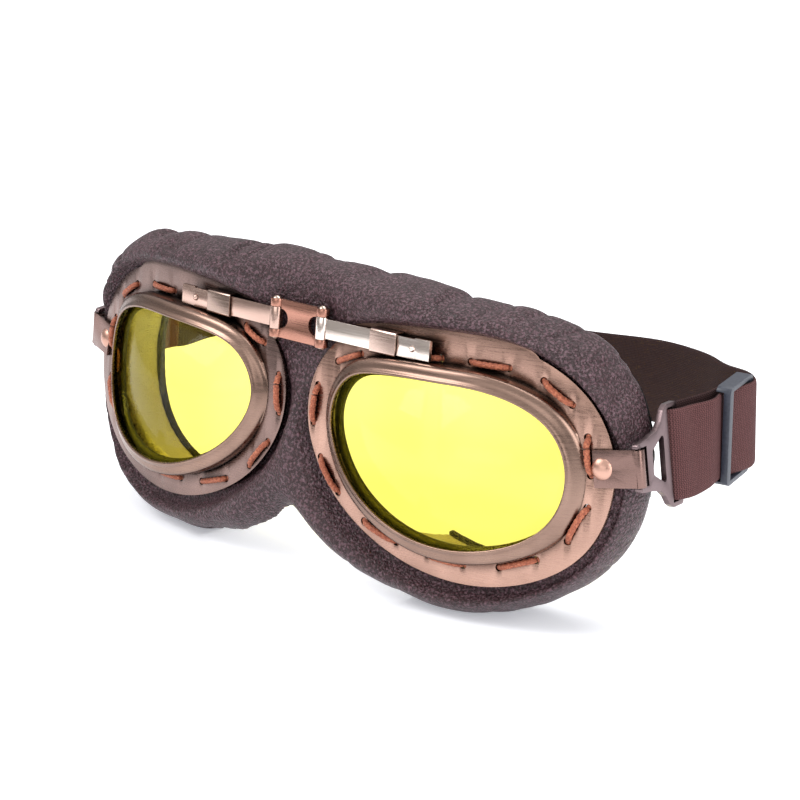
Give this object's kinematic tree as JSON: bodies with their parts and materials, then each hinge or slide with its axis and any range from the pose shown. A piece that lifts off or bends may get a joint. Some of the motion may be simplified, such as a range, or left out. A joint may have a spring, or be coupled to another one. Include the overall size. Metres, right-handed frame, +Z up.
{
  "type": "riding goggles",
  "caption": "Padded leather riding goggles with laced metal eyepieces, yellow lenses, a hinged sliding nose bridge and an elastic head strap.",
  "frame": {"origin": "middle of the bounding box seen from above, at the height of the surface the goggles rest on", "axes": "+X across the face towards the strap adjuster's side, +Y from the lenses towards the wearer, +Z up"},
  "size_m": [0.1864, 0.0913, 0.0744],
  "materials": {
    "plate_metal": "brushed antique copper",
    "rim_metal": "brushed antique copper with a bright worn lip",
    "bridge_metal": "satin antique copper",
    "clip_metal": "satin antique copper",
    "pin_metal": "polished, worn bright",
    "bracket_metal": "brushed antique copper",
    "buckle_metal": "dull antique copper",
    "lens_yellow": "clear yellow",
    "seal_rubber": "matt",
    "lace_cord": "twisted cord",
    "strap_webbing": "woven elastic",
    "adjuster_plastic": "satin",
    "mask_leather": "pebbled artificial leather, slight sheen",
    "lining_fabric": "soft knit over foam"
  },
  "bodies": {
    "front_root": {"bridge_link": "bridge_metal", "hinge_pin_left": "pin_metal", "hinge_pin_right": "pin_metal", "leather_mask": "mask_leather", "face_lining": "lining_fabric", "elastic_strap": "strap_webbing"},
    "adjuster": {"strap_adjuster": "adjuster_plastic"},
    "arm_left": {"bridge_arm_left": "bridge_metal"},
    "ocular_left": {"flange_left": "plate_metal", "rim_left": "rim_metal", "lens_left": "lens_yellow", "lens_seal_left": "seal_rubber", "lacing_left": "lace_cord", "box_clip_left": "clip_metal", "strap_bracket_left": "bracket_metal", "bracket_rivet_left": "pin_metal"},
    "buckle_left": {"strap_buckle_left": "buckle_metal"},
    "arm_right": {"bridge_arm_right": "bridge_metal"},
    "ocular_right": {"flange_right": "plate_metal", "rim_right": "rim_metal", "lens_right": "lens_yellow", "lens_seal_right": "seal_rubber", "lacing_right": "lace_cord", "box_clip_right": "clip_metal", "strap_bracket_right": "bracket_metal", "bracket_rivet_right": "pin_metal"},
    "buckle_right": {"strap_buckle_right": "buckle_metal"}
  },
  "joints": [
    {"name": "bridge_hinge_left", "type": "hinge", "parent": "front_root", "child": "arm_left", "pos_m": [-0.0076, -0.0376, 0.0608], "axis": [0, 0.1045, 0.9945], "range_deg": [-25, 10], "deforming": ["leather_mask", "face_lining", "elastic_strap"]},
    {"name": "bridge_slide_left", "type": "slide", "parent": "arm_left", "child": "ocular_left", "axis": [-0.9998, 0.0208, -0.0022], "range_m": [-0.0002, 0.0025], "deforming": ["leather_mask", "face_lining", "elastic_strap"]},
    {"name": "buckle_swing_left", "type": "hinge", "parent": "ocular_left", "child": "buckle_left", "pos_m": [-0.08975, -0.0234, 0.04106], "axis": [0.1313, -0.0007, 0.9913], "range_deg": [-5, 60], "deforming": ["elastic_strap"]},
    {"name": "bridge_hinge_right", "type": "hinge", "parent": "front_root", "child": "arm_right", "pos_m": [0.0076, -0.0376, 0.0608], "axis": [0, 0.1045, 0.9945], "range_deg": [-10, 25], "deforming": ["leather_mask", "face_lining", "elastic_strap"]},
    {"name": "bridge_slide_right", "type": "slide", "parent": "arm_right", "child": "ocular_right", "axis": [0.9998, 0.0208, -0.0022], "range_m": [-0.0002, 0.0025], "deforming": ["leather_mask", "face_lining", "elastic_strap"]},
    {"name": "buckle_swing_right", "type": "hinge", "parent": "ocular_right", "child": "buckle_right", "pos_m": [0.08975, -0.0234, 0.04106], "axis": [-0.1313, -0.0007, 0.9913], "range_deg": [-60, 5], "deforming": ["elastic_strap"]},
    {"name": "adjuster_slide", "type": "slide", "parent": "ocular_right", "child": "adjuster", "axis": [-0.2222, 0.9735, 0.055], "range_m": [-0.003, 0.004], "deforming": ["elastic_strap"]}
  ]
}
